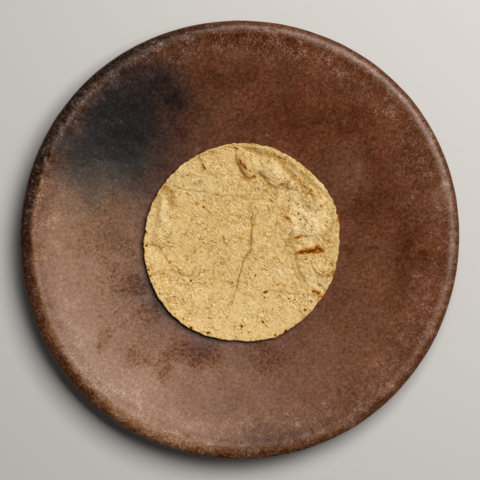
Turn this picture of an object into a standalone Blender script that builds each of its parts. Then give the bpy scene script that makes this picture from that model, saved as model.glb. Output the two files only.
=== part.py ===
"""A corn tortilla lying on a comal, the shallow clay griddle that it is baked on.

The comal is a turned dish of burnished clay with a soft, rounded lip. It is built by hand, so its rim is a
little out of round and out of level, and it stands on a small flat foot. The tortilla is a hand-pressed round
of maize dough that follows the dish. Blisters rise near its far edge, and its near left edge has curled up.

Metres, +Z up. The origin is the middle of the foot, on the surface that the comal stands on.
"""

import math

import bpy

MM = 0.001

# The comal. Radii run from its middle, and heights from the surface that it stands on.
COMAL_RADIUS = 166.3 * MM
COMAL_HEIGHT = 31 * MM
FLOOR_THICKNESS = 8 * MM
FOOT_RADIUS = 50 * MM
LIP_REACH = 8.5 * MM  # from the lip's crest out to its widest line
LIP_DROP = 4.5 * MM  # from the crest down to the widest line
LIP_UNDERCUT = 4 * MM  # from the widest line down to the end of the lip's curve
LIP_START = 118  # degrees round the lip's section, where the cooking face runs into it
LIP_END = -70  # degrees round the lip's section, where it runs into the underside

# Handwork: how far the rim swells out and lifts, as (lobes, height, direction of one lobe in degrees).
EVEN_RADIUS = 80 * MM  # inside it the dish is truly round, so the tortilla lies flat on it
COMAL_SWELLS = ((2, 0.5 * MM, 38), (3, 0.4 * MM, 29), (4, 0.4 * MM, 40))
COMAL_LIFTS = ((2, 0.4 * MM, 100), (3, 0.3 * MM, 15))
CREST_SHIFT = 2.6 * MM  # how much further out the lip's crest lies on one side than it does on the other
CREST_SHIFT_DIRECTION = 42  # degrees
CREST_SHIFT_START = 30 * MM  # from the crest inward, where the cooking face begins to give way

# The tortilla, and where its middle lies in the dish.
TORTILLA_RADIUS = 75.1 * MM
TORTILLA_THICKNESS = 2.2 * MM
TORTILLA_SHIFT = (1.7 * MM, -2.5 * MM)
TORTILLA_SWELLS = ((2, 0.8 * MM, 62), (4, 0.4 * MM, 28), (5, 0.4 * MM, 14), (7, 0.3 * MM, 29), (8, 0.2 * MM, 22))
RESTING_GAP = 0.3 * MM  # between the tortilla and the dish
EDGE_LIFT = 5.5 * MM  # how far the edge stands off the dish on the side that has curled up
EDGE_LIFT_DIRECTION = 208  # degrees
EDGE_LIFT_SHARPNESS = 6  # power of the distance from the middle: only the outer part lifts

# Blisters: place from the tortilla's middle, half length, half width and height in mm, then the
# direction of the length in degrees.
BLISTERS = (
    (6, 61.5, 10.5, 9, 3.6, -60),
    (5, 53, 7.5, 4.5, 2.6, -72),
    (22, 57, 14, 8.5, 3.0, -42),
    (37, 46, 8, 6, 2.2, -20),
    (55, 33, 9, 8, 1.2, 0),
    (54, 12, 17, 14, 1.5, 60),
    (-59, 27, 13, 6, 1.3, 85),
)

# Colours as sRGB from 0 to 255, and roughness from 0 to 1.
CLAY_COLOUR = (106, 70, 50)
CLAY_ROUGHNESS = 0.45
DOUGH_COLOUR = (212, 178, 120)
DOUGH_ROUGHNESS = 0.75

# Fineness of the faceted solids.
COMAL_SEGMENTS = 80
DISH_RINGS = 12
LIP_RINGS = 12
UNDERSIDE_RINGS = 7
TORTILLA_SEGMENTS = 96
TOP_RINGS = 16
EDGE_RINGS = 4
BOTTOM_RINGS = 5
TOP_CROWDING = 1.6  # above 1, the top's rings crowd towards its edge, where the blisters are
MERGE_DISTANCE = 0.01 * MM
SHARP_ANGLE = 40  # degrees: facets that meet at less are shaded smooth

CREST_RADIUS = COMAL_RADIUS - LIP_REACH
WIDEST_LEVEL = COMAL_HEIGHT - LIP_DROP


def clear_scene():
    """Remove whatever the scene holds before the model is built."""
    for old in list(bpy.data.objects):
        bpy.data.objects.remove(old)


def linear(channel):
    """Turn one sRGB channel, from 0 to 255, into a linear value."""
    value = channel / 255
    return value / 12.92 if value <= 0.04045 else ((value + 0.055) / 1.055) ** 2.4


def surface(name, colour, roughness):
    """Principled material of one colour."""
    material = bpy.data.materials.new(name)
    material.use_nodes = True
    shader = material.node_tree.nodes["Principled BSDF"]
    shader.inputs["Base Color"].default_value = [linear(channel) for channel in colour] + [1]
    shader.inputs["Roughness"].default_value = roughness
    shader.inputs["Metallic"].default_value = 0
    return material


def steps(start, stop, count):
    """Evenly spaced values from start, one for each step, without the last one at stop."""
    return [start + (stop - start) * index / count for index in range(count)]


def waves(turn, lobes):
    """Sum of waves round a rim at the angle turn, from (lobes, height, direction) triples."""
    return sum(height * math.cos(count * (turn - math.radians(first))) for count, height, first in lobes)


def ramp(value, low, high):
    """0 at low and 1 at high, with a smooth rise between, and even beyond them. Falls if high is the lower one."""
    share = min(max((value - low) / (high - low), 0), 1)
    return share * share * (3 - 2 * share)


def lip_point(degrees):
    """Radius and height on the lip's section, two half ellipses that meet at its widest line."""
    turn = math.radians(degrees)
    half_height = LIP_DROP if degrees > 0 else LIP_UNDERCUT
    return CREST_RADIUS + LIP_REACH * math.cos(turn), WIDEST_LEVEL + half_height * math.sin(turn)


def dish_level(radius):
    """Height of the cooking face: a shallow parabola from the floor's middle up to the lip."""
    join_radius, join_level = lip_point(LIP_START)
    return FLOOR_THICKNESS + (join_level - FLOOR_THICKNESS) * (radius / join_radius) ** 2


def underside_level(radius):
    """Height of the underside: a parabola from the edge of the foot up to the lip."""
    end_radius, end_level = lip_point(LIP_END)
    return end_level * (radius**2 - FOOT_RADIUS**2) / (end_radius**2 - FOOT_RADIUS**2)


def comal_section():
    """Half section from the middle of the cooking face, over the lip and back to the foot's middle."""
    join_radius = lip_point(LIP_START)[0]
    end_radius = lip_point(LIP_END)[0]
    face = [(radius, dish_level(radius)) for radius in steps(0, join_radius, DISH_RINGS)]
    lip = [lip_point(degrees) for degrees in steps(LIP_START, LIP_END, LIP_RINGS)]
    under = [(radius, underside_level(radius)) for radius in steps(end_radius, FOOT_RADIUS, UNDERSIDE_RINGS)]
    foot = [(FOOT_RADIUS, 0), (0, 0)]
    return face + lip + under + foot


def tortilla_section():
    """Half section of the round while it lies flat: top, half-round edge and bottom."""
    half = TORTILLA_THICKNESS / 2
    flat_radius = TORTILLA_RADIUS - half
    top_radii = [flat_radius * (1 - (1 - share) ** TOP_CROWDING) for share in steps(0, 1, TOP_RINGS)]
    top = [(radius, TORTILLA_THICKNESS) for radius in top_radii]
    edge_turns = steps(0, math.pi, EDGE_RINGS)
    edge = [(flat_radius + half * math.sin(turn), half + half * math.cos(turn)) for turn in edge_turns]
    bottom = [(radius, 0) for radius in steps(flat_radius, 0, BOTTOM_RINGS)]
    return top + edge + bottom + [(0, 0)]


def turned_mesh(name, section, segments):
    """Mesh of a half section turned once round the Z axis."""
    outline = bpy.data.meshes.new(name + "_section")
    corners = [(radius, 0, height) for radius, height in section]
    edges = [(index, index + 1) for index in range(len(corners) - 1)]
    outline.from_pydata(corners, edges, [])
    turning = bpy.data.objects.new(name + "_section", outline)
    bpy.context.scene.collection.objects.link(turning)
    screw = turning.modifiers.new("Turn", "SCREW")
    screw.steps = segments
    screw.render_steps = segments
    screw.use_merge_vertices = True
    screw.merge_threshold = MERGE_DISTANCE
    depsgraph = bpy.context.evaluated_depsgraph_get()
    mesh = bpy.data.meshes.new_from_object(turning.evaluated_get(depsgraph))
    bpy.data.objects.remove(turning)
    return mesh


def crest_shift(turn, radius):
    """How far the lip's crest and the face below it move out, which leaves the lip's widest line where it is."""
    facing = 0.5 + 0.5 * math.cos(turn - math.radians(CREST_SHIFT_DIRECTION))
    rise = ramp(radius, CREST_RADIUS - CREST_SHIFT_START, CREST_RADIUS)
    return CREST_SHIFT * facing * rise * ramp(radius, COMAL_RADIUS, CREST_RADIUS)


def hand_built(x, y, z):
    """Where a point of the turned comal goes: the rim swells and lifts, the more the further out it is."""
    turn = math.atan2(y, x)
    radius = math.hypot(x, y)
    share = max(0, (radius - EVEN_RADIUS) / (COMAL_RADIUS - EVEN_RADIUS)) ** 2
    if z > COMAL_HEIGHT / 2:
        radius += crest_shift(turn, radius)
    radius *= 1 + share * waves(turn, COMAL_SWELLS) / COMAL_RADIUS
    return radius * math.cos(turn), radius * math.sin(turn), z + share * waves(turn, COMAL_LIFTS)


def blister_height(x, y):
    """Height that the blisters add at a place on the round: that of the highest of the oval domes there."""
    highest = 0
    for middle_x, middle_y, half_length, half_width, height, direction in BLISTERS:
        turn = math.radians(direction)
        across_x = x / MM - middle_x
        across_y = y / MM - middle_y
        along = (across_x * math.cos(turn) + across_y * math.sin(turn)) / half_length
        aside = (across_y * math.cos(turn) - across_x * math.sin(turn)) / half_width
        highest = max(highest, height * MM * (1 - along**2 - aside**2))
    return highest


def edge_lift(turn, share):
    """Height that the curled edge adds, where share runs from 0 in the middle to 1 at the edge."""
    facing = 0.5 + 0.5 * math.cos(turn - math.radians(EDGE_LIFT_DIRECTION))
    return EDGE_LIFT * facing * share**EDGE_LIFT_SHARPNESS


def laid_in_dish(x, y, z):
    """Where a point of the flat round goes: uneven outline, blistered top, and down onto the dish."""
    turn = math.atan2(y, x)
    share = math.hypot(x, y) / TORTILLA_RADIUS
    stretch = 1 + waves(turn, TORTILLA_SWELLS) / TORTILLA_RADIUS
    x *= stretch
    y *= stretch
    z += z / TORTILLA_THICKNESS * blister_height(x, y) + edge_lift(turn, share)
    x += TORTILLA_SHIFT[0]
    y += TORTILLA_SHIFT[1]
    return x, y, z + dish_level(math.hypot(x, y)) + RESTING_GAP


def add_piece(name, mesh, place, material, collection):
    """Send every vertex of the mesh to its place, and add it as a smooth-shaded object."""
    for vertex in mesh.vertices:
        vertex.co = place(*vertex.co)
    mesh.materials.append(material)
    mesh.shade_smooth()
    mesh.set_sharp_from_angle(angle=math.radians(SHARP_ANGLE))
    collection.objects.link(bpy.data.objects.new(name, mesh))


def main():
    clear_scene()
    collection = bpy.data.collections.new("corn_tortilla_on_comal")
    bpy.context.scene.collection.children.link(collection)
    clay = surface("burnished_clay", CLAY_COLOUR, CLAY_ROUGHNESS)
    dough = surface("maize_dough", DOUGH_COLOUR, DOUGH_ROUGHNESS)
    comal = turned_mesh("comal", comal_section(), COMAL_SEGMENTS)
    add_piece("comal", comal, hand_built, clay, collection)
    tortilla = turned_mesh("tortilla", tortilla_section(), TORTILLA_SEGMENTS)
    add_piece("tortilla", tortilla, laid_in_dish, dough, collection)


main()
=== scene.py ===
"""Looks of a corn tortilla on its comal: surfaces, finishes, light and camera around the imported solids."""

import bpy
import numpy as np
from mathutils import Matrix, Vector


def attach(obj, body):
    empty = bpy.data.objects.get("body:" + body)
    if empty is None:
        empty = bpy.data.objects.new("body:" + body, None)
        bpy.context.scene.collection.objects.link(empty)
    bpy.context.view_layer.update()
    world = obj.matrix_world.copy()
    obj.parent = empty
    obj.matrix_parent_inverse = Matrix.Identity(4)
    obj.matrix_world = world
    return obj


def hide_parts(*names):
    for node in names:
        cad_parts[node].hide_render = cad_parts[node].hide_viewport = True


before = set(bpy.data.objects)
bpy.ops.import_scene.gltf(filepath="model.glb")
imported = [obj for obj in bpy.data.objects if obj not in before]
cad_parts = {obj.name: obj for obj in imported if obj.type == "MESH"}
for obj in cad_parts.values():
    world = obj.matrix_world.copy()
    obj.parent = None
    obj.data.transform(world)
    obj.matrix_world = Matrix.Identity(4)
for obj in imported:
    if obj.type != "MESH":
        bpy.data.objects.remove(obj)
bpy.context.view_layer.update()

MM = 0.001

# ---------------------------------------------------------------------------------------------------------
# Sizes in mm. Radii run from the comal's middle, and heights from the surface that it stands on.

COMAL_RADIUS = 166.3
COMAL_HEIGHT = 31
FLOOR_THICKNESS = 8
FOOT_RADIUS = 50
LIP_REACH = 8.5  # from the lip's crest out to its widest line
LIP_DROP = 4.5  # from the crest down to the widest line
LIP_UNDERCUT = 4  # from the widest line down to the end of the lip's curve
LIP_START = 118  # degrees round the lip's section, where the cooking face runs into it
LIP_END = -70  # degrees round the lip's section, where it runs into the underside
EVEN_RADIUS = 80  # inside it the dish is truly round

# Handwork: how far the rim swells out and lifts, as (lobes, height, direction of one lobe in degrees).
COMAL_SWELLS = ((2, 0.5, 38), (3, 0.4, 29), (4, 0.4, 40))
COMAL_LIFTS = ((2, 0.4, 100), (3, 0.3, 15))
CREST_SHIFT = 2.6  # how far the crest lies further out on one side than it does on the other
CREST_SHIFT_DIRECTION = 42
CREST_SHIFT_REACH = 30  # how far inside the crest the shift starts
COMAL_RINGS = (84, 40, 20, 4)  # on the cooking face, round the lip, on the underside and on the foot
COMAL_COLUMNS = 640
CHIP_COUNT = 34
VALLEY_PLACE = -5.5  # the shallow valley that a finger left inside the lip, as a distance beyond its crest
VALLEY_WIDTH = 2.2
VALLEY_DEPTH = 0.2

TORTILLA_RADIUS = 75.1
TORTILLA_THICKNESS = 2.2
TORTILLA_SHIFT = (1.7, -2.5)
TORTILLA_SWELLS = ((2, 0.8, 62), (4, 0.4, 28), (5, 0.4, 14), (7, 0.3, 29), (8, 0.2, 22))
TORTILLA_RINGS = (128, 8, 12)  # on top, round the edge and below
TOP_CROWDING = 0.85  # below 1, the top's rings crowd towards its edge
TORTILLA_COLUMNS = 660
RESTING_GAP = 0.3
EDGE_LIFT = 5.5
EDGE_LIFT_DIRECTION = 208
EDGE_LIFT_SHARPNESS = 6  # the power of the share of the radius by which the edge curls up

# ---------------------------------------------------------------------------------------------------------
# Marks on the comal, in mm from its middle. Each is an oval: its place, half length, half width, direction in
# degrees, and strength.

SMOKE_CLOUDS = (
    (-94, 80, 42, 27, 42, 0.97),
    (-96, 83, 70, 48, 46, 0.5),
    (-71, 105, 78, 63, 47, 0.18),
    (-98, 56, 30, 27, 88, 0.72),
    (-122, 72, 28, 24, 60, 0.45),
    (-80, 110, 38, 22, 12, 0.68),
    (-76, 56, 28, 22, 40, 0.4),
)
# Stains of fat and soot. A negative strength lightens the clay instead: painted light on the shadow that the
# tortilla's raised edge casts.
STAINS_AND_PAINTED_LIGHT = (
    (60, 80, 30, 14, -35, 0.2),
    (132, -16, 20, 14, 80, 0.3),
    (90, 89, 15, 11, 0, 0.25),
    (78, -114, 24, 10, 30, 0.4),
    (-94, 16, 24, 12, 80, 0.6),
    (-112, 42, 12, 10, 0, 0.35),
    (-92, -30, 12, 10, 0, 0.45),
    (-34, -122, 34, 14, 5, 0.4),
    (-72, -70, 10, 9, 0, 0.3),
    (10, 90, 12, 10, 0, 0.05),
    (32, 91, 10, 9, 0, 0.35),
    (-44, 96, 14, 12, 0, 0.3),
    (8, 151, 36, 7, -3, 0.6),
    (14, -153, 40, 10, 3, 0.8),
    (-26, -88, 14, 7, 10, 0.2),
    (-44, -90, 16, 12, 0, 0.35),
    # Painted light: lightens the tortilla's cast shadow beside its raised left edge.
    (-70, -30, 8, 10, 0, -0.6),
    (-108, 6, 26, 20, 80, 0.4),
    (-84, 92, 26, 17, 42, 0.25),
    (-50, 108, 8, 6, 0, 0.2),
    (-20, -118, 40, 16, 0, 0.12),
    (81, -6, 3, 3, 0, 0.7),
    (102, -8, 3, 2.5, 0, 0.7),
    (121, -8, 4, 2.5, 10, 0.7),
    (117, -17, 3, 3, 0, 0.6),
    (137, -11, 4, 3, 60, 0.7),
    (-49, 106, 5, 4, 40, 0.7),
    (-60, 120, 6, 5, 0, 0.4),
    (-45, 84, 7, 5, 60, 0.5),
    (-62, 96, 5, 4, 0, 0.4),
)
# Where the clay was less smoked and shows a warmer, lighter brown.
WARM_PATCHES = (
    (80, -78, 60, 34, 44, 0.2),
    (30, -112, 60, 34, 8, 0.3),
    (92, -14, 20, 26, 80, 0.15),
)
# A thin veil of ash.
ASH_HAZE = (
    (70, 50, 24, 18, 60, 0.08),
    (-104, 12, 26, 36, 10, 0.3),
    (-80, -40, 24, 36, 10, 0.1),
    (-126, -70, 34, 9, -61, 0.16),
    (-98, -108, 30, 8, -42, 0.14),
    (-20, 95, 30, 16, 0, 0.04),
)
# Where the burnish has gone and dark mottles crowd.
DRY_PATCHES = (
    (-88, -18, 48, 24, 82, 0.4),
    (-62, -70, 44, 26, -38, 0.55),
    (0, -116, 75, 30, -5, 0.25),
    (72, -78, 62, 34, 42, 0.15),
    (-83, -34, 11, 8, 0, 0.95),
    (-71, -57, 9, 7, 0, 0.9),
    (-103, -79, 10, 7, 0, 0.85),
    (-77, -87, 9, 7, 0, 0.85),
    (-36, -87, 21, 9, -8, 1.0),
    (22, -90, 21, 11, -10, 0.9),
    (-100, -20, 8, 6, 0, 0.8),
    (-112, 6, 22, 16, 75, 0.6),
    (-86, -8, 8, 10, 0, 0.8),
    (-58, -98, 8, 8, 0, 0.8),
)
# Smears and crumbs of lime.
CHALK_SMEARS = (
    (90, 50, 9, 3, 80, 0.35),
    (150, 32, 10, 6, 80, 0.6),
    (-72, -116, 24, 14, -35, 0.3),
    (-102, 90, 1.5, 1.0, 20, 0.6),
    (-97, 88, 1.2, 1.0, 0, 0.8),
    (-94, 91, 1.4, 0.9, -30, 0.5),
    (-90, 89, 1.5, 1.2, 0, 0.9),
    (-86, 91, 1.2, 1.0, 0, 0.5),
    (-3, 112, 1.2, 1.2, 0, 1.0),
    (31, 112, 1.2, 1.0, 0, 0.8),
    (20, 79, 1.2, 1.0, 0, 1.0),
    (-32, 69, 1.5, 1.2, 40, 0.7),
)

# The tortilla's marks, in mm from its middle, are ovals as well. A blister's last number is its height.
BLISTERS = (
    (6, 61.5, 10.5, 9, -60, 3.6),
    (5, 53, 7.5, 4.5, -72, 2.6),
    (22, 57, 14, 8.5, -42, 3.0),
    (37, 46, 8, 6, -20, 2.2),
    (55, 33, 9, 8, 0, 1.2),
    (54, 12, 17, 14, 60, 1.5),
    (-59, 27, 13, 6, 85, 1.3),
)
# Where the dough puffed up off the clay and stayed pale.
PUFFED_PATCHES = (
    (7, 64, 6.5, 5, -50, 0.2),
    (27, 53, 14, 5.5, -42, 0.6),
    (39, 43.5, 3, 2.5, 0, 0.8),
    (43, 22, 13, 7, 85, 1.0),
    (53, 14, 14, 9, 70, 0.95),
    (60, 29, 5, 4, 0, 0.6),
    (-60, 27, 8, 3, 85, 0.8),
    (-66, -10, 7, 3, 100, 0.5),
    (47, -44, 14, 5, -5, 0.6),
    (61, -30, 6, 5, 0, 0.9),
    (50, -20, 10, 6, 0, 0.35),
    (-68, 6, 6, 10, 0, 0.4),
    (-60, 20, 8, 14, 0, 0.4),
    (-38, 45, 22, 14, 0, 0.5),
    (-38, -42, 24, 16, -40, 0.2),
    (2, -56, 28, 14, 0, 0.25),
    (25, -20, 14, 10, 0, 0.25),
)
# Thinner places that lie darker.
THIN_PATCHES = (
    (50, 33, 7, 6, 0, 0.55),
    (60, 4, 6, 5, 0, 0.5),
    (-50, 46, 9, 6, 30, 0.45),
    (-30, 42, 8, 6, 0, 0.5),
    (-42, 30, 8, 5, 0, 0.4),
    (-30, -54, 10, 5, 0, 0.4),
    (-42, -6, 7, 5, 0, 0.3),
    (42, 3, 7, 4, 0, 0.35),
)
# Creases from peeling the dough off the press: width, depth in shares of CREASE_CUT, then the places that
# each runs through.
CREASE_CUT = 0.6
CREASES = (
    (0.6, 0.3, ((6.5, 43), (6.5, 32), (7, 23))),
    (0.6, 0.85, ((8, 23), (7, 17.5), (7.7, 13.5), (7, 5), (7.1, -3.5), (6.5, -6.5))),
    (0.55, 0.25, ((10, 22), (8.5, 17), (7.7, 13.5))),
    (0.6, 0.8, ((6.5, -6.5), (2.3, -12), (0, -16), (-0.8, -20.5), (-2.3, -26), (-3.8, -33))),
    (0.55, 0.42, ((-3.8, -33), (-5.8, -40), (-8.8, -48))),
    (0.6, 0.4, ((-52, 44), (-47, 41), (-39, 40), (-27, 38), (-16.5, 35.5), (-8, 36), (2.3, 34))),
    (0.6, 0.35, ((4.5, 34), (10.5, 32.5), (15.5, 33.5))),
    (0.6, 0.65, ((-73.6, -1), (-69, -1), (-64.4, -3), (-61.4, -6), (-58.3, -11.5), (-55, -15.5))),
    (0.6, 0.38, ((-69.4, 1), (-64.4, -1), (-57.5, -1), (-53, -3.5))),
    (0.6, 0.48, ((-69.4, -25), (-61.7, -21.5), (-53, -21), (-48, -23), (-42, -25.5), (-33.7, -25.7))),
    (0.6, 0.28, ((-33.7, -25.7), (-23.4, -28), (-8.4, -30.5))),
    (0.6, 0.6, ((-33.7, -25.7), (-32, -22.5))),
    (0.6, 0.95, ((53.5, -17), (54.5, -20.5), (57.5, -23.5), (62, -25.3), (68, -25.3), (70, -22.5))),
    (1.3, 0.45, ((36, 2.7), (40, -6.5), (42, -15.7), (43.3, -22), (47.6, -29))),
    (0.6, 0.35, ((22.8, -35.7), (28.8, -37), (37, -38.7), (47.6, -39.5), (54.5, -40), (60, -41.5))),
    (0.65, 0.5, ((-30, 27), (-23, 22))),
    (0.65, 0.55, ((-15.3, 5), (-12.3, -1.2))),
    (2.4, 0.65, ((-58, 41), (-54, 35), (-52.5, 29.5))),
    (0.7, 0.5, ((-55, 36), (-52.5, 30), (-49, 27))),
    (1.7, 0.3, ((-62.5, 36), (-64.5, 20), (-67, 5))),
    (0.7, 0.95, ((-33, 66), (-29, 56.5))),
    (1.2, 0.3, ((-29, 56.5), (-25.3, 52.5), (-20, 50))),
    (0.85, 1.25, ((-4.6, 63.3), (-2.7, 58), (0.4, 52.5), (4.6, 48.7), (9.6, 49.5))),
    (0.65, 0.95, ((-5.4, 72.5), (-4.2, 68), (-4.6, 63.3))),
    (0.85, 1.1, ((12.7, 53.7), (17, 48.7), (21.5, 44), (26, 42.2), (31.4, 44.5))),
    (0.6, 0.5, ((34.7, 46.4), (34.9, 39.5))),
    (0.6, 0.4, ((34.9, 41.8), (38.4, 41), (41.4, 43.3))),
    (1.6, 0.5, ((3, 72), (12, 69), (21.5, 66), (28, 63), (32.5, 58), (38, 51.5), (44.5, 45.5), (50, 41))),
    (0.75, 0.4, ((46.8, 29.5), (49.5, 26), (54.8, 24.2), (60.6, 25.3), (63, 29.5))),
    (0.7, 0.4, ((51.4, 39.5), (48.3, 35))),
    (0.65, 0.45, ((53.7, 36.4), (56, 32))),
    (0.65, 0.7, ((58.3, 39.5), (60, 33.4))),
    (0.65, 0.5, ((46.8, 20.3), (49, 16.5), (47.6, 12))),
    (0.65, 0.55, ((69, 15), (66.7, 9), (63.7, 6.5))),
    (0.9, 0.9, ((33, 19.5), (37.5, 15.5))),
    (0.8, 0.75, ((36, 6.5), (39, 1.2))),
    (0.6, 0.45, ((44.5, 33), (47, 30), (46.5, 26.5))),
    (0.6, 0.55, ((40, -24), (44, -28), (45, -33))),
    (0.6, 0.6, ((42.5, -12), (44, -18), (43, -23), (47, -29))),
    (0.6, 0.6, ((52, -14), (53.5, -18), (55.5, -20))),
    (0.6, 0.5, ((57, -25), (58, -30), (60, -33))),
)
# Rolled edges that stand up: width, height, then the places they run through.
RIDGES = (
    (1.8, 1.1, ((2, 74), (14, 72.5), (26, 69), (37, 62.5), (46, 54), (54, 47.5), (61, 41))),
    (1.6, 0.8, ((-60.5, 14), (-62, 24), (-59.5, 36))),
    (1.3, 0.7, ((33.5, 3), (37.5, -6), (39.8, -16), (41, -22), (44, -28.5))),
    (1.2, 0.5, ((-68, 24), (-70, 12), (-71, 0))),
)
# Nibs and nicks along the tortilla's edge: direction and half width in degrees, and height.
EDGE_NIBS = ((17.5, 1.1, -0.9), (94.7, 0.9, 0.7), (91.2, 0.8, 0.5), (301, 5, -0.4), (203, 1.0, 0.4))
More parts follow.
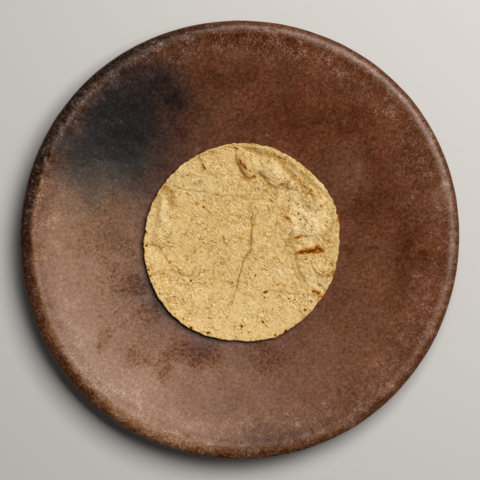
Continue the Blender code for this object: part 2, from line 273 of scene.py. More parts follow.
# Toasted marks where the dough touched the hot clay. The last number is the darkness.
TOAST_MARKS = (
    (44.9, -7.6, 3.6, 1.1, 10, 0.6),
    (52, -6.1, 9.5, 2.3, 5, 0.45),
    (48.6, -6.3, 1.6, 0.7, 25, 0.8),
    (51.8, -6.2, 1.6, 0.9, 10, 0.95),
    (54.2, -5.9, 1.4, 1.1, -15, 0.9),
    (50.6, -7.6, 2.0, 0.5, 5, 0.7),
    (56.4, -4.4, 0.8, 2.0, -15, 0.6),
    (58.2, -3.6, 2.6, 1.5, -35, 0.55),
    (59.4, -5.2, 1.4, 0.6, -50, 0.65),
    (61.6, -6.2, 2.0, 1.4, -50, 0.55),
    (57.6, -7.6, 3.4, 1.0, 5, 0.45),
    (42.2, 4, 2.6, 1.1, 18, 0.62),
    (46, 5.1, 2.6, 1.0, 10, 0.3),
    (35.3, 18.4, 2.4, 1.1, -25, 0.65),
    (32.2, 20, 1.6, 0.8, -40, 0.4),
    (-1.2, 61.7, 2.0, 0.8, -80, 0.75),
    (1.6, 58.4, 3.4, 1.5, -50, 0.42),
    (2.4, 57.4, 1.6, 0.7, -50, 0.85),
    (6, 54.5, 1.8, 0.8, -30, 0.5),
    (9.2, 50.6, 1.8, 1.1, 10, 0.7),
    (1.2, 67.9, 2.0, 0.8, 60, 0.4),
    (-4.6, 72, 2.2, 0.8, -10, 0.6),
    (6.5, 70.6, 4.5, 0.6, -12, 0.25),
    (15, 68.6, 2.5, 0.7, -20, 0.25),
    (28.4, 64.8, 1.8, 0.8, -30, 0.6),
    (32.2, 60.2, 1.5, 0.7, -45, 0.4),
    (40.7, 51, 1.6, 0.8, -40, 0.6),
    (43.7, 47.9, 2.0, 0.8, -40, 0.45),
    (31.1, 44.9, 1.5, 1.0, 0, 0.4),
    (52.5, 39.9, 1.3, 1.3, 0, 0.62),
    (60.6, 28, 1.4, 0.9, -40, 0.5),
    (42.6, 29.5, 0.9, 0.8, 0, 0.69),
    (43.3, 22.2, 1.0, 0.8, 20, 0.75),
    (44.3, 18, 0.8, 0.8, 0, 0.69),
    (56, 22.6, 1.5, 0.6, 40, 0.25),
    (64.8, 15.7, 1.4, 0.8, -40, 0.4),
    (-29.1, 57.8, 0.7, 2.8, 25, 0.94),
    (-41.8, 59.1, 0.7, 0.6, 0, 0.62),
    (-41.4, 51.4, 1.2, 0.9, 0, 0.47),
    (-45.3, 49.9, 0.8, 1.2, 0, 0.4),
    (-52, 54, 1.2, 0.9, 40, 0.38),
    (-44.5, 43.7, 1.4, 0.8, -30, 0.35),
    (-41.8, 37.2, 1.1, 0.8, -20, 0.5),
    (-53.7, 39, 1.8, 0.8, 10, 0.5),
    (-58.3, 40.3, 1.4, 0.7, -30, 0.4),
    (-34.9, 29.9, 1.2, 1.2, 0, 0.4),
    (-29.1, 27.2, 1.0, 1.2, 0, 0.62),
    (-66, 27, 2.4, 0.6, -30, 0.4),
    (-64, 22, 0.8, 4.5, -8, 0.25),
    (-72.5, 8, 0.7, 1.4, 0, 0.62),
    (-3.8, 36.8, 0.9, 0.7, 0, 0.62),
    (-8.4, 22.2, 2.0, 0.5, 0, 0.3),
    (-13.8, 3.5, 0.7, 2.0, 15, 0.44),
    (-36, -7.3, 0.9, 1.1, 0, 0.56),
    (-36.4, -4, 0.7, 2.2, 0, 0.28),
    (-41.8, -13, 0.9, 0.8, 0, 0.56),
    (-38.7, -15, 0.7, 0.6, 0, 0.44),
    (-54.8, -15, 1.5, 1.2, 0, 0.42),
    (-47.9, -21, 1.0, 0.8, 0, 0.5),
    (-60.2, -23.4, 1.4, 0.6, 5, 0.6),
    (-38.7, -29, 0.8, 1.1, 0, 0.94),
    (-28.4, -31, 0.8, 0.7, 0, 0.44),
    (-23.4, -31.4, 0.7, 0.6, 0, 0.5),
    (-7.7, -30.7, 0.8, 0.7, 0, 0.88),
    (-72.6, -2.3, 1.0, 1.0, 0, 1.0),
    (-70.9, -20.7, 0.8, 0.7, 0, 1.0),
    (-69.6, -25.5, 0.8, 0.8, 0, 1.0),
    (-66.3, -31, 0.7, 0.7, 0, 0.62),
    (-62.5, -38.4, 0.8, 0.8, 0, 0.88),
    (-54.2, -50.6, 0.7, 0.7, 0, 0.5),
    (-51, -54, 0.6, 0.6, 0, 0.81),
    (-44.5, -57.5, 0.7, 0.9, 0, 0.5),
    (-40.3, -54, 1.0, 0.6, 0, 0.44),
    (-37.6, -47.9, 0.6, 0.6, 0, 0.56),
    (-38.7, -64.8, 1.2, 0.9, -20, 1.0),
    (-25.7, -68.6, 1.5, 0.9, 15, 1.0),
    (-24.5, -57.5, 2.2, 0.6, -15, 0.45),
    (-16.9, -57, 0.8, 0.7, 0, 0.56),
    (-11.5, -56.4, 0.9, 0.6, 0, 0.5),
    (-19, -66.3, 1.5, 0.7, 0, 0.3),
    (-0.2, -63.7, 0.9, 1.2, 0, 0.81),
    (18, -37.6, 1.9, 1.0, 20, 0.8),
    (17.3, -42.2, 0.8, 0.7, 0, 0.75),
    (10.2, -25.2, 0.7, 1.3, 0, 0.75),
    (11, -30.3, 0.8, 0.7, 0, 0.38),
    (27.6, -31.8, 2.2, 0.7, 25, 0.35),
    (59.4, -32.2, 1.1, 1.0, 0, 0.55),
    (56.6, -37.6, 3.4, 1.5, -20, 0.48),
    (54.6, -37.2, 1.2, 0.6, -20, 0.8),
    (58.2, -38.6, 1.0, 0.6, -10, 0.7),
    (61, -41, 3.2, 1.2, -5, 0.48),
    (62.6, -41.4, 1.2, 0.6, 0, 0.7),
    (64.8, -36.8, 1.8, 1.2, 60, 0.4),
    (66.7, -32.6, 1.6, 1.0, 65, 0.4),
    (59.8, -44.6, 3.2, 1.2, 55, 0.42),
    (69, -22.2, 2.2, 1.1, 60, 0.45),
    (47.8, -51.2, 1.0, 0.8, 0, 1.0),
    (52.5, -44.5, 0.8, 0.7, 0, 0.88),
    (40.3, -43.3, 0.7, 0.7, 0, 0.94),
    (35.7, -42.6, 0.5, 0.8, 0, 0.81),
    (37.6, -41.8, 0.5, 0.5, 0, 0.75),
    (36.4, -45, 0.5, 0.6, 0, 0.62),
    (39, -46, 0.5, 0.5, 0, 0.62),
    (48.3, -44.5, 0.5, 0.5, 0, 0.56),
    (16, -60.6, 1.1, 0.8, -20, 0.94),
    (18.4, -63.3, 2.6, 0.4, -50, 0.4),
    (41.4, -62.7, 0.9, 0.9, 0, 0.81),
    (33.4, -67, 1.5, 0.9, 25, 0.85),
    (25.3, -70.2, 0.7, 1.1, 0, 0.94),
    (5, -68.3, 0.7, 0.6, 0, 0.62),
    (16.3, -52.4, 0.6, 0.6, 0, 0.5),
    (15.7, -12, 2.5, 0.5, -25, 0.28),
    (22.6, -13.4, 2.5, 0.5, 0, 0.28),
    (25.3, -11.5, 1.5, 0.6, 50, 0.4),
    (28, -12.5, 1.5, 0.5, -15, 0.35),
    (8.4, 13.7, 1.5, 0.7, -30, 0.5),
    (73.2, 18, 0.9, 3.2, 5, 0.5),
)
DOT_COUNT = 110


# ---------------------------------------------------------------------------------------------------------
# Helpers that work on whole arrays of places


def waves(turn, lobes):
    """Sum of waves round a rim at the angle turn, from (lobes, height, direction) triples."""
    return sum(height * np.cos(count * (turn - np.radians(first))) for count, height, first in lobes)


def noise(x, y, size, seed):
    """Smooth lumps of the given size, from about -1 to 1.

    Each corner of a square lattice has a slope in a random direction. A place takes the heights of the four
    slopes round it, blended across the cell with 6t^5 - 15t^4 + 10t^3.
    """
    lattice = 256
    turns = np.random.default_rng(seed).uniform(0, 2 * np.pi, (lattice, lattice))
    u = x / size
    v = y / size
    i = np.floor(u).astype(int)
    j = np.floor(v).astype(int)
    u = u - i
    v = v - j

    def corner(right, up):
        turn = turns[(i + right) % lattice, (j + up) % lattice]
        return np.cos(turn) * (u - right) + np.sin(turn) * (v - up)

    across = u**3 * (u * (6 * u - 15) + 10)
    along = v**3 * (v * (6 * v - 15) + 10)
    low = corner(0, 0) * (1 - across) + corner(1, 0) * across
    high = corner(0, 1) * (1 - across) + corner(1, 1) * across
    return 1.5 * (low * (1 - along) + high * along)


def rough(x, y, size, layers, seed):
    """Lumps of the given size with ever finer and lower lumps on them, each layer half the one before."""
    return sum(noise(x, y, size / 2**step, seed + step) / 2**step for step in range(layers))


def ramp(value, low, high):
    """0 below low and 1 above high, with the rise 3t^2 - 2t^3 between. It falls if high is the lower one."""
    share = np.clip((value - low) / (high - low), 0, 1)
    return share * share * (3 - 2 * share)


def oval(x, y, place, sizes, direction):
    """How far out a place is in an oval turned to the direction: 0 at its middle and 1 on its outline."""
    turn = np.radians(direction)
    x = x - place[0]
    y = y - place[1]
    along = (x * np.cos(turn) + y * np.sin(turn)) / sizes[0]
    aside = (y * np.cos(turn) - x * np.sin(turn)) / sizes[1]
    return np.hypot(along, aside)


def bell(value, middle, width):
    """1 at the middle, falling away on both sides as exp(-t^2), where t is the distance in widths."""
    return np.exp(-(((value - middle) / width) ** 2))


def facing(turn, direction, low, high):
    """1 on the side that lies in the direction, 0 off it: a ramp on the cosine of the angle between."""
    return ramp(np.cos(turn - np.radians(direction)), low, high)


def strands(x, y, direction, length, width, seed):
    """Smooth lumps drawn out along a direction, from about -1 to 1."""
    turn = np.radians(direction)
    along = (x * np.cos(turn) + y * np.sin(turn)) / length
    aside = (y * np.cos(turn) - x * np.sin(turn)) / width
    return noise(along, aside, 1, seed)


def patches(x, y, ovals, softness):
    """How far several ovals cover each place, each laid over the last, and run out over the softness."""
    bare = np.ones(x.shape)
    for *place, half_length, half_width, direction, strength in ovals:
        spread = oval(x, y, place, (half_length, half_width), direction)
        bare = bare * (1 - strength * ramp(spread, 1 + softness, 1 - softness))
    return 1 - bare


def path_distance(x, y, path):
    """Distance to the nearest point of a path of straight legs."""
    nearest = np.full(x.shape, np.inf)
    for (x1, y1), (x2, y2) in zip(path, path[1:]):
        share = ((x - x1) * (x2 - x1) + (y - y1) * (y2 - y1)) / ((x2 - x1) ** 2 + (y2 - y1) ** 2)
        share = np.clip(share, 0, 1)
        nearest = np.minimum(nearest, np.hypot(x - x1 - share * (x2 - x1), y - y1 - share * (y2 - y1)))
    return nearest


def round_surface(name, points, marks, material):
    """Closed surface from a grid of points in mm, whose columns go round a middle.

    The first and the last row are one point each. marks is a dictionary of values on the same grid, which
    become attributes of the surface's points.
    """
    rows, columns = points.shape[:2]
    kept = np.ones((rows, columns), bool)
    kept[[0, -1], 1:] = False
    number = np.cumsum(kept.ravel()).reshape(rows, columns) - 1
    number[[0, -1]] = number[[0, -1], :1]
    after = np.roll(number, -1, axis=1)
    quads = np.stack([number[1:-2], number[2:-1], after[2:-1], after[1:-2]], axis=-1)
    tops = np.stack([number[0], number[1], after[1]], axis=-1)
    bottoms = np.stack([number[-2], number[-1], after[-2]], axis=-1)
    corners = np.concatenate([quads.ravel(), tops.ravel(), bottoms.ravel()])
    sides = np.repeat([4, 3], [(rows - 3) * columns, 2 * columns])

    mesh = bpy.data.meshes.new(name)
    mesh.vertices.add(np.count_nonzero(kept))
    mesh.vertices.foreach_set("co", (points[kept] * MM).ravel())
    mesh.loops.add(len(corners))
    mesh.loops.foreach_set("vertex_index", corners)
    mesh.polygons.add(len(sides))
    mesh.polygons.foreach_set("loop_start", np.cumsum(sides) - sides)
    mesh.update(calc_edges=True)
    mesh.shade_smooth()
    for mark, values in marks.items():
        values = np.broadcast_to(values, kept.shape)
        mesh.attributes.new(mark, "FLOAT", "POINT").data.foreach_set("value", values[kept])
    mesh.materials.append(material)
    piece = bpy.data.objects.new(name, mesh)
    bpy.context.scene.collection.objects.link(piece)
    return piece


# ---------------------------------------------------------------------------------------------------------
# The comal


def lip_point(degrees):
    """Radius and height on the lip's section, two half ellipses that meet at its widest line."""
    turn = np.radians(degrees)
    half_height = np.where(turn > 0, LIP_DROP, LIP_UNDERCUT)
    radius = COMAL_RADIUS - LIP_REACH + LIP_REACH * np.cos(turn)
    return radius, COMAL_HEIGHT - LIP_DROP + half_height * np.sin(turn)


def dish_level(radius):
    """Height of the cooking face: a shallow parabola from the floor's middle up to the lip."""
    join_radius, join_level = lip_point(LIP_START)
    return FLOOR_THICKNESS + (join_level - FLOOR_THICKNESS) * (radius / join_radius) ** 2


def comal_section():
    """Radii and heights from the middle of the cooking face, over the lip and back to the foot's middle."""
    join_radius = lip_point(LIP_START)[0]
    end_radius, end_level = lip_point(LIP_END)
    face_rings, lip_rings, under_rings, foot_rings = COMAL_RINGS
    face = np.linspace(0, join_radius, face_rings, endpoint=False)
    lip_radii, lip_levels = lip_point(np.linspace(LIP_START, LIP_END, lip_rings, endpoint=False))
    under = np.linspace(end_radius, FOOT_RADIUS, under_rings, endpoint=False)
    under_levels = end_level * (under**2 - FOOT_RADIUS**2) / (end_radius**2 - FOOT_RADIUS**2)
    foot = np.linspace(FOOT_RADIUS, 0, foot_rings)
    radii = np.concatenate([face, lip_radii, under, foot])
    levels = np.concatenate([dish_level(face), lip_levels, under_levels, np.zeros(foot_rings)])
    return radii, levels


def comal_relief(x, y, beyond, above_foot):
    """How far the clay stands off its turned form: slow waves, an uneven lip, a valley inside it, and chips.

    beyond is the distance from the lip's crest along the section, and above_foot is 0 on the flat foot.
    """
    relief = 0.14 * noise(x, y, 24, 1) + 0.07 * noise(x, y, 8, 2)
    lip = ramp(abs(beyond), 14, 4)
    relief += lip * (0.3 * noise(x, y, 22, 3) + 0.18 * noise(x, y, 9, 4))
    relief -= VALLEY_DEPTH * bell(beyond, VALLEY_PLACE, VALLEY_WIDTH)
    draw = np.random.default_rng(5)
    turns = draw.uniform(0, 2 * np.pi, CHIP_COUNT)
    places = draw.uniform(-4, 5, CHIP_COUNT)
    sizes = draw.uniform(1.2, 3.2, CHIP_COUNT)
    ragged = 1 + 0.4 * noise(x, y, 2.2, 6)
    for turn, place, size in zip(turns, places, sizes):
        middle = (COMAL_RADIUS - LIP_REACH + place) * np.array([np.cos(turn), np.sin(turn)])
        spread = oval(x, y, middle, (size, 0.6 * size), np.degrees(turn) + 90) * ragged
        relief -= 0.2 * size * np.clip(1 - spread**2, 0, 1) * (abs(beyond) < 16)
    return relief * above_foot


def comal_marks(x, y, beyond, turn):
    """What the fire and use have left on each place of the comal, and some painted light and shade, 0 where
    there is none.

    level is how much lighter or darker a place shows, as a share of white. wiped goes up to about 2, and the
    others up to 1.
    """
    radius = np.hypot(x, y)
    face = beyond < 0
    wander_x = x + 7 * rough(x, y, 26, 4, 11)
    wander_y = y + 7 * rough(x, y, 26, 4, 21)
    worn_side = facing(turn, 208, 0.1, 0.85)
    worn = worn_side * ramp(radius + 10 * noise(x, y, 30, 31), 72, 114)
    warm = patches(wander_x, wander_y, WARM_PATCHES, 0.6)
    worn = worn + (1 - worn) * warm + 0.08 * ramp(radius, 120, 150)

    # The lip's outer face is sooty on the far left, and its wear reaches further down on the near left.
    reach = beyond + 1.2 * rough(x, y, 7, 3, 33)
    soot = 0.88 * facing(turn, 150, 0.5, 0.92) * ramp(reach, -3.5, 2)
    soot = soot * ramp(radius + 14 * noise(x, y, 40, 45), 20, 130)
    bare_side = facing(turn, 247, 0.93, 0.985)
    worn = worn * ramp(reach, 2 + 10 * bare_side, -2 + 2 * bare_side)

    # Dust lies on the lip's crest. Outside it, a painted highlight lies on the far right, where the light
    # falls, and the near side is made lighter.
    dust_and_highlight = (0.1 + 0.12 * worn_side) * ramp(reach, -7, -2) * ramp(reach, 4, 0) * (1 - soot)
    dust_and_highlight = dust_and_highlight + 0.24 * facing(turn, 35, 0.3, 0.85) * ramp(reach, -2, 2) * ramp(reach, 7, 3)
    dust_and_highlight = dust_and_highlight + 0.16 * facing(turn, 283, 0.88, 0.985) * ramp(reach, -2, 2) * ramp(reach, 10, 4)
    dust_and_highlight = dust_and_highlight + patches(wander_x, wander_y, ASH_HAZE, 0.7) * face

    # Cloths and tools have rubbed a band inside the lip, most of all on the far left and the far side.
    wiped = ramp(beyond + 9 * noise(x, y, 18, 41), -40, -8) * ramp(beyond, 16, 3)
    wiped = wiped + 0.8 * facing(turn, 138, 0.75, 0.95) * ramp(beyond, -10, -5) * ramp(beyond, 8, 3)
    wiped = wiped + 0.35 * facing(turn, 75, 0.8, 0.97) * ramp(beyond, -20, -10) * ramp(beyond, 1, -4)

    # Darker just inside the lip's crest on the left, and along the valley.
    shade = facing(turn, 180, 0.75, 0.95) * ramp(beyond, -20, -5) * ramp(beyond, 2, -1)
    valley = bell(beyond, VALLEY_PLACE, VALLEY_WIDTH) * (0.8 + 0.8 * noise(x, y, 12, 43))
    stain_and_painted_light = patches(wander_x, wander_y, STAINS_AND_PAINTED_LIGHT, 0.5)
    chalk = patches(x + noise(x, y, 3, 35), y, CHALK_SMEARS, 0.6) * face
    return {
        "smoke": patches(wander_x, wander_y, SMOKE_CLOUDS, 0.38) * ramp(beyond, 12, 6),
        "dry": patches(wander_x, wander_y, DRY_PATCHES, 0.6) * face,
        "worn": np.clip(worn, 0, 1),
        "soot": np.clip(soot, 0, 1),
        "dust_and_highlight": np.clip(dust_and_highlight, 0, 1),
        # The lip's outer face, taken towards bare brown, more on the side turned from the light as painted
        # shade.
        "outer_face_and_shade": ramp(reach, 0, 6) * (0.25 + 0.75 * facing(turn, 225, -0.2, 0.6)),
        "wiped": wiped,
        "level": 0.15 * chalk - 0.1 * stain_and_painted_light * ramp(beyond, 30, 12) - 0.07 * shade - 0.04 * valley,
    }


def build_comal(material):
    """The comal's skin: its turned section, swollen and lifted by hand, with relief along the normals."""
    radii, levels = comal_section()
    steps_out = np.gradient(radii)
    steps_up = np.gradient(levels)
    lengths = np.hypot(steps_out, steps_up)
    travelled = np.concatenate([[0], np.cumsum(np.hypot(np.diff(radii), np.diff(levels)))])
    beyond = (travelled - travelled[np.argmax(levels)])[:, None]
    turn = np.linspace(0, 2 * np.pi, COMAL_COLUMNS, endpoint=False)[None, :]

    radius = radii[:, None]
    share = np.clip((radius - EVEN_RADIUS) / (COMAL_RADIUS - EVEN_RADIUS), 0, None) ** 2
    toward = 0.5 + 0.5 * np.cos(turn - np.radians(CREST_SHIFT_DIRECTION))
    crest_radius = COMAL_RADIUS - LIP_REACH
    near_crest = ramp(radius, crest_radius - CREST_SHIFT_REACH, crest_radius)
    near_crest = near_crest * ramp(radius, COMAL_RADIUS, crest_radius)
    near_crest = near_crest * (levels > COMAL_HEIGHT / 2)[:, None]
    radius = radius + CREST_SHIFT * toward * near_crest
    radius = radius * (1 + share * waves(turn, COMAL_SWELLS) / COMAL_RADIUS)
    height = levels[:, None] + share * waves(turn, COMAL_LIFTS)
    x = radius * np.cos(turn)
    y = radius * np.sin(turn)
    inside_crest = np.arange(len(levels)) < np.argmax(levels)
    above_foot = ramp(levels + inside_crest, 0, 0.6)[:, None]
    relief = comal_relief(x, y, beyond, above_foot)
    outward = relief * (-steps_up / lengths)[:, None]
    upward = relief * (steps_out / lengths)[:, None]
    points = np.stack([x + outward * np.cos(turn), y + outward * np.sin(turn), height + upward], axis=-1)
    return round_surface("comal_clay", points, comal_marks(x, y, beyond, turn), material)


# ---------------------------------------------------------------------------------------------------------
# The tortilla. Places are in mm from its middle.


def tortilla_section():
    """Radii and levels from the top's middle round the edge to the underside's middle: 1 on top, 0 below."""
    half = TORTILLA_THICKNESS / 2
    flat_radius = TORTILLA_RADIUS - half
    top_rings, edge_rings, bottom_rings = TORTILLA_RINGS
    top = flat_radius * np.linspace(0, 1, top_rings, endpoint=False) ** TOP_CROWDING
    edge = np.linspace(0, np.pi, edge_rings, endpoint=False)
    bottom = np.linspace(flat_radius, 0, bottom_rings)
    radii = np.concatenate([top, flat_radius + half * np.sin(edge), bottom])
    levels = np.concatenate([np.ones(len(top)), 0.5 + 0.5 * np.cos(edge), np.zeros(len(bottom))])
    return radii, levels


def blister_relief(x, y):
    """Height of the blisters: domes of 1 - d^2 to a power, steeper on their near left side."""
    total = np.zeros(x.shape)
    for *place, half_length, half_width, direction, height in BLISTERS:
        spread = oval(x, y, place, (half_length, half_width), direction)
        lean = np.cos(np.arctan2(y - place[1], x - place[0]) - np.radians(225))
        dome = height * np.clip(1 - spread**2, 0, 1) ** (1.15 - 0.5 * lean)
        total = np.maximum(total, dome) + 0.25 * np.minimum(total, dome)
    return total


def crevices(x, y, size, width, seed):
    """Thin winding lines where smooth lumps change sign, from 0 to 1, which come and go along their way."""
    line = bell(noise(x, y, size, seed) * size, 0, width)
    return line * ramp(noise(x, y, 1.7 * size, seed + 1), -0.25, 0.35)


def tortilla_relief(x, y):
    """Height of the top's relief, how creased and puffed each place is, and its painted shade, from 0 to 1.

    Lumps and ripples, and finer folds and wrinkles, make it up. They are stronger on the right and calmer on
    the near left. Creases are cut as bells across their paths, and ridges stand up the same way.
    """
    right = ramp(x + 0.3 * y, 0, 45)
    calm = ramp(y - 0.45 * x, -18, -48) * (1 - right)
    warp_x = x + 2.2 * rough(x, y, 10, 3, 56)
    warp_y = y + 2.2 * rough(x, y, 10, 3, 59)
    lumps = 0.65 * noise(warp_x, warp_y, 16, 61) + 0.4 * noise(warp_x, warp_y, 7, 62)
    ripples = 0.3 * strands(warp_x, warp_y, -40, 11, 3.2, 75)
    folds = 0.7 * crevices(warp_x, warp_y, 9, 1.1, 63) + 0.5 * crevices(warp_x, warp_y, 5, 0.9, 67)
    busy = 0.35 + ramp(rough(x, y, 14, 2, 73), -0.3, 0.5)
    wrinkles = 0.3 * strands(warp_x, warp_y, -38, 5, 1.5, 65)
    wrinkles = wrinkles + 0.22 * strands(warp_x, warp_y, 12, 3.6, 1.6, 66)

    wander_x = x + 0.7 * rough(x, y, 5, 3, 71)
    wander_y = y + 0.7 * rough(x, y, 5, 3, 81)
    grooves = np.zeros(x.shape)
    beside = np.zeros(x.shape)
    for width, depth, path in CREASES:
        distance = path_distance(wander_x, wander_y, path)
        grooves = np.maximum(grooves, depth * bell(distance, 0, width))
        beside = np.maximum(beside, depth * bell(distance, 0, 2.2 * width))
    uneven = 0.85 + 0.5 * noise(x, y, 7, 69) + 0.35 * noise(x, y, 2.6, 70)
    grooves = np.clip(1.15 * grooves * uneven, 0, None)
    rims = np.zeros(x.shape)
    for width, height, path in RIDGES:
        rims = np.maximum(rims, height * bell(path_distance(wander_x, wander_y, path), 0, width))
    rims = rims * (1 + 0.5 * noise(x, y, 6, 77))
    blisters = blister_relief(wander_x, wander_y)
    puffed = patches(warp_x, warp_y, PUFFED_PATCHES, 0.9)
    thin = patches(warp_x, warp_y, THIN_PATCHES, 0.9)

    strength = (0.8 + 0.45 * right) * (1 - 0.45 * calm)
    rough_skin = strength * (lumps + ripples + busy * wrinkles - 0.5 * folds)
    relief = blisters + rims - CREASE_CUT * grooves + rough_skin
    # Painted shade: the folds, the wrinkles' valleys and a band beside each crease are darkened. The thinner
    # places that lie darker are added in too.
    hollow_shade_and_thin = 0.5 * folds * strength + np.clip(-1.4 * busy * wrinkles * strength, 0, 0.6)
    hollow_shade_and_thin = hollow_shade_and_thin + 0.3 * beside * uneven + 0.7 * thin
    return relief, np.clip(grooves, 0, 1), np.clip(hollow_shade_and_thin, 0, 1), puffed


def tortilla_toast(x, y):
    """How dark each place is toasted, from 0 to 1: the larger marks, and dots that crowd near the edge."""
    wander_x = x + 0.5 * rough(x, y, 2.4, 2, 91)
    wander_y = y + 0.5 * rough(x, y, 2.4, 2, 95)
    toast = patches(wander_x, wander_y, TOAST_MARKS, 0.5)
    draw = np.random.default_rng(97)
    reach = TORTILLA_RADIUS * draw.uniform(0.1, 0.99, DOT_COUNT) ** 0.45
    turns = draw.uniform(0, 2 * np.pi, DOT_COUNT)
    sizes = draw.uniform(0.45, 0.95, DOT_COUNT)
    depths = draw.uniform(0.12, 0.5, DOT_COUNT)
    for dot_x, dot_y, size, depth in zip(reach * np.cos(turns), reach * np.sin(turns), sizes, depths):
        toast = np.maximum(toast, depth * bell(np.hypot(x - dot_x, y - dot_y), 0, size))
    return np.clip(1.15 * toast, 0, 1)


def build_tortilla(material):
    """The tortilla's skin: a ragged round with relief on top, laid in the dish, one edge curled up."""
    radii, levels = tortilla_section()
    turn = np.linspace(0, 2 * np.pi, TORTILLA_COLUMNS, endpoint=False)[None, :]
    share = radii[:, None] / TORTILLA_RADIUS
    rim_x = TORTILLA_RADIUS * np.cos(turn)
    rim_y = TORTILLA_RADIUS * np.sin(turn)
    ragged = 0.55 * noise(rim_x, rim_y, 5.5, 101) + 0.35 * noise(rim_x, rim_y, 2.4, 102)
    for direction, half_width, height in EDGE_NIBS:
        away = np.degrees(np.arccos(np.cos(turn - np.radians(direction))))
        ragged = ragged + height * bell(away, 0, half_width)
    radius = radii[:, None] + share * waves(turn, TORTILLA_SWELLS) + share**12 * ragged
    x = radius * np.cos(turn)
    y = radius * np.sin(turn)

    relief, crease, hollow_shade_and_thin, puffed = tortilla_relief(x, y)
    top = levels[:, None]
    toward = 0.5 + 0.5 * np.cos(turn - np.radians(EDGE_LIFT_DIRECTION))
    height = top * TORTILLA_THICKNESS + EDGE_LIFT * toward * share**EDGE_LIFT_SHARPNESS
    height = height + top * relief * ramp(share, 1.0, 0.97)
    marks = {
        "toast": tortilla_toast(x, y),
        "crease": crease * top,
        "hollow_shade_and_thin": hollow_shade_and_thin * top,
        "puffed": puffed * top,
    }
    x = x + TORTILLA_SHIFT[0]
    y = y + TORTILLA_SHIFT[1]
    points = np.stack([x, y, height + dish_level(np.hypot(x, y)) + RESTING_GAP], axis=-1)
    return round_surface("tortilla_dough", points, marks, material)


# ---------------------------------------------------------------------------------------------------------
# Finishes


def linear(code):
    """Linear colour of an sRGB hex code."""
    channels = np.array([int(code[i : i + 2], 16) for i in (1, 3, 5)]) / 255
    values = np.where(channels <= 0.04045, channels / 12.92, ((channels + 0.055) / 1.055) ** 2.4)
    return (*values, 1)


def node(tree, kind, inputs, output=None, **settings):
    """Add a shader node, make its settings, set or link its inputs, and give its first or named output."""
    added = tree.nodes.new("ShaderNode" + kind)
    for setting, value in settings.items():
        setattr(added, setting, value)
    sockets = [socket for socket in added.inputs if socket.enabled]
    for key, value in inputs.items():
        named = [found for found in sockets if found.name == key]
        socket = sockets[key] if isinstance(key, int) else named[0]
        if isinstance(value, bpy.types.NodeSocket):
            tree.links.new(value, socket)
        else:
            socket.default_value = value
    return next((found for found in added.outputs if found.enabled and output in (None, found.name)), None)


def new_finish(name):
    """An empty material and its node tree."""
    material = bpy.data.materials.new(name)
    material.use_nodes = True
    material.node_tree.nodes.clear()
    return material, material.node_tree


def stepped(tree, colour, steps):
    """Colour made lighter or darker by nearly the same shown step in each channel, as dust and pores do.

    steps are pairs of a value and its weight, which are multiplied and added up. A step of 1 is all the way
    from black to white. Blue steps a little further than red does, since relief shades red the most.
    """
    shown = node(tree, "Gamma", {"Color": colour, "Gamma": 1 / 2.2})
    step = 0.0
    for value, weight in steps:
        step = node(tree, "Math", {0: value, 1: weight, 2: step}, operation="MULTIPLY_ADD")
    step = node(tree, "VectorMath", {0: step, 1: (0.94, 1, 1.12)}, operation="MULTIPLY")
    shown = node(tree, "VectorMath", {0: shown, 1: step}, operation="ADD")
    shown = node(tree, "VectorMath", {0: shown, 1: (0, 0, 0)}, operation="MAXIMUM")
    return node(tree, "Gamma", {"Color": shown, "Gamma": 2.2})


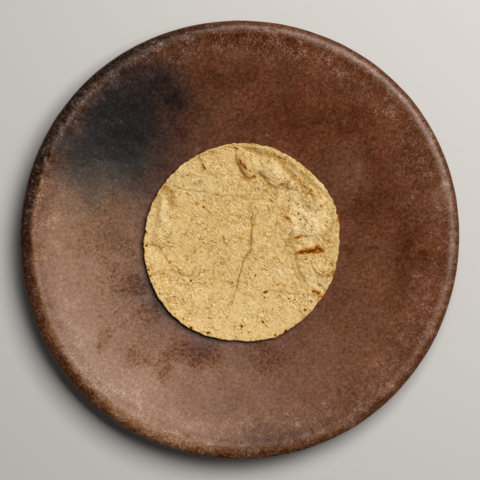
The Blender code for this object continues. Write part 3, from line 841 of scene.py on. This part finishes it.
def burnished_clay():
    """Low-fired red-brown earthenware, rubbed smooth with a pebble before the fire, then used over coals.

    The rubbing gives a soft, even sheen that is lost where the surface is dry and outside the lip. The fire
    and the use give the clay its clouds of smoke, its dark mottles and its pale, dusty side. Some light and
    shade is painted in too: a highlight along the lip where the light falls, and shade on its outer face.
    """
    material, tree = new_finish("burnished_earthenware")
    place = node(tree, "TexCoord", {}, "Object")
    names = ("smoke", "dry", "worn", "soot", "dust_and_highlight", "outer_face_and_shade", "wiped", "level")
    marks = (node(tree, "Attribute", {}, "Fac", attribute_name=name) for name in names)
    smoke, dry, worn, soot, dust_and_highlight, outer_face_and_shade, wiped, level = marks
    blend = {"data_type": "RGBA"}
    smooth = {"interpolation_type": "SMOOTHSTEP"}

    # Clouds of 20 mm in the clay's brown.
    cloud = node(tree, "TexNoise", {"Vector": place, "Scale": 45, "Detail": 5, "Roughness": 0.6})
    cloud = node(tree, "MapRange", {"Value": cloud, "From Min": 0.3, "From Max": 0.7})
    colour = node(tree, "Mix", {"Factor": cloud, "A": linear("#4E270F"), "B": linear("#6B3B21")}, **blend)
    colour = node(tree, "Mix", {"Factor": worn, "A": colour, "B": linear("#8E603D")}, **blend)
    colour = node(tree, "Mix", {"Factor": smoke, "A": colour, "B": linear("#1A1411")}, **blend)
    # Dust, with a painted highlight along the lip on the side facing the light.
    colour = node(tree, "Mix", {"Factor": dust_and_highlight, "A": colour, "B": linear("#A48467")}, **blend)
    # The lip's outer face goes towards bare brown, most on the side turned from the light: partly painted
    # shade.
    bare = node(tree, "Math", {0: outer_face_and_shade, 1: 0.55}, operation="MULTIPLY")
    colour = node(tree, "Mix", {"Factor": bare, "A": colour, "B": linear("#55311B")}, **blend)
    colour = node(tree, "Mix", {"Factor": soot, "A": colour, "B": linear("#2A1A0E")}, **blend)

    # Ragged mottles of 2 mm and less, which crowd where the clay is dry.
    ragged = {"Detail": 4, "Roughness": 0.8, "Distortion": 0.8}
    mottle = node(tree, "TexNoise", {"Vector": place, "Scale": 520, **ragged})
    mottle = node(tree, "Math", {0: dry, 1: 0.14, 2: mottle}, operation="MULTIPLY_ADD")
    mottle = node(tree, "MapRange", {"Value": mottle, "From Min": 0.615, "From Max": 0.66}, **smooth)

    # Wiping from the middle outward draws the grain near the lip into hairs of 1 mm by 4 mm. Their
    # coordinates are a place on a circle, and the distance from the middle made four times shorter.
    flat = node(tree, "VectorMath", {0: place, 1: (1, 1, 0)}, operation="MULTIPLY")
    outward = node(tree, "VectorMath", {0: flat}, operation="NORMALIZE")
    outward = node(tree, "VectorMath", {0: outward, 1: (0.16, 0.16, 0)}, operation="MULTIPLY")
    reach = node(tree, "VectorMath", {0: flat}, "Value", operation="LENGTH")
    reach = node(tree, "Math", {0: reach, 1: 1 / 4}, operation="MULTIPLY")
    raised = node(tree, "CombineXYZ", {"Z": reach})
    outward = node(tree, "VectorMath", {0: outward, 1: raised}, operation="ADD")
    wavy = {"Detail": 2, "Roughness": 0.7, "Distortion": 0.6}
    hairs = node(tree, "TexNoise", {"Vector": outward, "Scale": 700, **wavy})
    hairs = node(tree, "Math", {0: hairs, 1: 0.5}, operation="SUBTRACT")
    hairs = node(tree, "Math", {0: hairs, 1: wiped}, operation="MULTIPLY")

    # Flecks of lime and ash, under 1 mm, near the lip, which come in crowds of 9 mm.
    crowd = node(tree, "TexNoise", {"Vector": place, "Scale": 110, "Detail": 4, "Roughness": 0.7})
    crowd = node(tree, "Math", {0: crowd, 1: 0.9, 2: 0.16}, operation="MULTIPLY_ADD")
    fleck = node(tree, "TexNoise", {"Vector": place, "Scale": 1300, "Detail": 1})
    fleck = node(tree, "Math", {0: fleck, 1: crowd}, operation="SUBTRACT")
    fleck = node(tree, "MapRange", {"Value": fleck, "From Min": 0.0, "From Max": 0.08})
    clear = node(tree, "Math", {0: smoke, 1: -0.7, 2: 1.0}, operation="MULTIPLY_ADD")
    ashy = node(tree, "Math", {0: wiped, 1: clear}, operation="MULTIPLY")
    ashy = node(tree, "Math", {0: smoke, 1: 0.15, 2: ashy}, operation="MULTIPLY_ADD")
    fleck = node(tree, "Math", {0: fleck, 1: ashy}, operation="MULTIPLY")

    # Grain of 0.6 to 2.5 mm, stronger on the lip's outer face.
    grain = node(tree, "TexNoise", {"Vector": place, "Scale": 400, "Detail": 2, "Roughness": 1.0})
    grain = node(tree, "Math", {0: grain, 1: 0.5}, operation="SUBTRACT")
    gritty = node(tree, "Math", {0: outer_face_and_shade, 1: 0.4, 2: 1.0}, operation="MULTIPLY_ADD")
    grain = node(tree, "Math", {0: grain, 1: gritty}, operation="MULTIPLY")
    steps = ((grain, 0.42), (mottle, -0.12), (hairs, 0.18), (fleck, 0.19), (level, 1.0))
    colour = stepped(tree, colour, steps)

    crust = node(tree, "Math", {0: dry, 1: mottle}, operation="MULTIPLY")
    roughness = node(tree, "Math", {0: crust, 1: 0.15, 2: 0.31}, operation="MULTIPLY_ADD")
    gloss = node(tree, "Math", {0: dry, 1: -0.09, 2: 0.2}, operation="MULTIPLY_ADD")
    gloss = node(tree, "Math", {0: outer_face_and_shade, 1: -0.1, 2: gloss}, operation="MULTIPLY_ADD")
    height = node(tree, "Math", {0: grain, 1: mottle}, operation="SUBTRACT")
    bump = node(tree, "Bump", {"Strength": 0.15, "Distance": 0.15 * MM, "Height": height})
    look = {"Base Color": colour, "Roughness": roughness, "Specular IOR Level": gloss, "Normal": bump}
    node(tree, "OutputMaterial", {"Surface": node(tree, "BsdfPrincipled", look)})
    return material


def maize_dough():
    """Pressed nixtamal dough, baked dry on hot clay.

    The ground maize keeps a matt, grainy skin of warm yellow, paler where it puffed up off the clay, browner
    in its creases, and toasted through orange to dark brown where it touched. Painted shade darkens its
    hollows and the lines of its wrinkles, and its thinner places lie darker.
    """
    material, tree = new_finish("baked_maize_dough")
    place = node(tree, "TexCoord", {}, "Object")
    names = ("toast", "crease", "hollow_shade_and_thin", "puffed")
    marks = (node(tree, "Attribute", {}, "Fac", attribute_name=name) for name in names)
    toast, crease, hollow_shade_and_thin, puffed = marks
    blend = {"data_type": "RGBA"}

    # Patches of 7 mm in the yellow.
    patch = node(tree, "TexNoise", {"Vector": place, "Scale": 150, "Detail": 4, "Roughness": 0.6})
    patch = node(tree, "MapRange", {"Value": patch, "From Min": 0.3, "From Max": 0.7})
    colour = node(tree, "Mix", {"Factor": patch, "A": linear("#DAB26F"), "B": linear("#E5C487")}, **blend)
    colour = node(tree, "Mix", {"Factor": puffed, "A": colour, "B": linear("#F0D29C")}, **blend)

    # Grain of 1 mm, part of it drawn out 2.4 times along the wrinkles.
    slant = {"Vector": place, "Rotation": (0, 0, np.radians(-42)), "Scale": (2.4, 1.0, 1)}
    slanted = node(tree, "Mapping", slant, vector_type="TEXTURE")
    twisted = {"Detail": 2, "Roughness": 0.7, "Distortion": 0.5}
    drawn = node(tree, "TexNoise", {"Vector": slanted, "Scale": 1000, **twisted})
    grain = node(tree, "TexNoise", {"Vector": place, "Scale": 1000, "Detail": 2, "Roughness": 0.8})
    fine = node(tree, "Math", {0: drawn, 1: 1.5, 2: grain}, operation="MULTIPLY_ADD")
    fine = node(tree, "Math", {0: fine, 1: 1.25}, operation="SUBTRACT")

    # Thin winding wrinkles about 3 mm apart, where a noise crosses its middle. They come and go.
    swirl = node(tree, "TexNoise", {"Vector": slanted, "Scale": 430, "Detail": 1, "Distortion": 1.0})
    swirl = node(tree, "Math", {0: swirl, 1: 0.5}, operation="SUBTRACT")
    swirl = node(tree, "Math", {0: swirl}, operation="ABSOLUTE")
    swirl = node(tree, "MapRange", {"Value": swirl, "From Min": 0.08, "From Max": 0.0})
    broken = node(tree, "TexNoise", {"Vector": place, "Scale": 95, "Detail": 2})
    broken = node(tree, "MapRange", {"Value": broken, "From Min": 0.42, "From Max": 0.6})
    wrinkle = node(tree, "Math", {0: swirl, 1: broken}, operation="MULTIPLY")

    # The grain is stronger in the same places, and its pits are darker than its grains are light.
    strength = node(tree, "Math", {0: broken, 1: 0.6, 2: 0.48}, operation="MULTIPLY_ADD")
    fine = node(tree, "Math", {0: fine, 1: strength}, operation="MULTIPLY")
    pits = node(tree, "Math", {0: fine, 1: 0.0}, operation="MINIMUM")
    # The wrinkles' lines and the hollows are darkened as painted shade.
    steps = ((fine, 0.45), (pits, 0.3), (wrinkle, -0.13), (hollow_shade_and_thin, -0.13), (crease, -0.16))
    colour = stepped(tree, colour, steps)
    colour = node(tree, "Mix", {"Factor": crease, "A": colour, "B": linear("#A67A3E")}, **blend)

    # Pinpricks of toast, about 7 mm apart, in crowds.
    prick = node(tree, "TexVoronoi", {"Vector": place, "Scale": 150}, voronoi_dimensions="2D")
    prick = node(tree, "MapRange", {"Value": prick, "From Min": 0.11, "From Max": 0.05, "To Max": 0.45})
    prick = node(tree, "Math", {0: prick, 1: broken}, operation="MULTIPLY")
    colour = node(tree, "Mix", {"Factor": prick, "A": colour, "B": linear("#6E4018")}, **blend)

    # Toast, ragged at its edges with the grain, from orange through brown to a dark brown.
    ragged = node(tree, "Math", {0: fine, 1: toast, 2: toast}, operation="MULTIPLY_ADD")
    for code, start, stop in (("#D0943A", 0.1, 0.32), ("#AA640E", 0.28, 0.55), ("#562A04", 0.6, 0.95)):
        weight = node(tree, "MapRange", {"Value": ragged, "From Min": start, "From Max": stop})
        colour = node(tree, "Mix", {"Factor": weight, "A": colour, "B": linear(code)}, **blend)

    height = node(tree, "Math", {0: fine, 1: wrinkle}, operation="SUBTRACT")
    bump = node(tree, "Bump", {"Strength": 0.3, "Distance": 0.4 * MM, "Height": height})
    gloss = node(tree, "Math", {0: toast, 1: -0.28, 2: 0.3}, operation="MULTIPLY_ADD")
    look = {"Base Color": colour, "Roughness": 0.75, "Specular IOR Level": gloss, "Normal": bump}
    node(tree, "OutputMaterial", {"Surface": node(tree, "BsdfPrincipled", look)})
    return material


def studio_paper():
    """Matt paper sweep of a plain, pale grey."""
    material, tree = new_finish("studio_paper")
    shader = node(tree, "BsdfPrincipled", {"Base Color": linear("#CFCBC5"), "Roughness": 0.9})
    node(tree, "OutputMaterial", {"Surface": shader})
    return material


# ---------------------------------------------------------------------------------------------------------
# Floor, light and camera, in metres

KEY_AZIMUTH = 46  # degrees from +X, the side that the light comes from
KEY_ELEVATION = 64
KEY_DISTANCE = 1.25
KEY_SIDE = 0.75
KEY_POWER = 17  # watts
FILL = 0.06  # strength of the light from all round
CAMERA_HEIGHT = 1.4
CAMERA_SHIFT = (0.0002, -0.00045)
VIEW_WIDTH = 0.3629  # how much the view takes in at the level of the comal's widest line


def add_floor():
    """The level paper that the comal stands on."""
    bpy.ops.mesh.primitive_plane_add(size=4)
    floor = bpy.context.object
    floor.name = "floor"
    floor.data.materials.append(studio_paper())


def add_light():
    """One square softbox from the far right, and a little light from all round."""
    lamp = bpy.data.lights.new("softbox", "AREA")
    lamp.shape = "SQUARE"
    lamp.size = KEY_SIDE
    lamp.energy = KEY_POWER
    light = bpy.data.objects.new("softbox", lamp)
    bpy.context.scene.collection.objects.link(light)
    azimuth = np.radians(KEY_AZIMUTH)
    elevation = np.radians(KEY_ELEVATION)
    level = np.cos(elevation)
    toward = Vector((level * np.cos(azimuth), level * np.sin(azimuth), np.sin(elevation)))
    light.location = KEY_DISTANCE * toward
    light.rotation_euler = toward.to_track_quat("Z", "Y").to_euler()
    world = bpy.data.worlds.new("room")
    world.use_nodes = True
    world.node_tree.nodes["Background"].inputs["Color"].default_value = (1, 1, 1, 1)
    world.node_tree.nodes["Background"].inputs["Strength"].default_value = FILL
    bpy.context.scene.world = world


def add_camera():
    """A camera that looks straight down."""
    lens = bpy.data.cameras.new("camera")
    lens.lens = lens.sensor_width * (CAMERA_HEIGHT - (COMAL_HEIGHT - LIP_DROP) * MM) / VIEW_WIDTH
    camera = bpy.data.objects.new("camera", lens)
    camera.location = (*CAMERA_SHIFT, CAMERA_HEIGHT)
    bpy.context.scene.collection.objects.link(camera)
    bpy.context.scene.camera = camera


bpy.context.scene.view_settings.view_transform = "Standard"
add_floor()
add_light()
add_camera()
for piece, replaced, slot in (
    (build_comal(burnished_clay()), "comal", "clay"),
    (build_tortilla(maize_dough()), "tortilla", "dough"),
):
    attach(piece, "root")
    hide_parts(replaced)
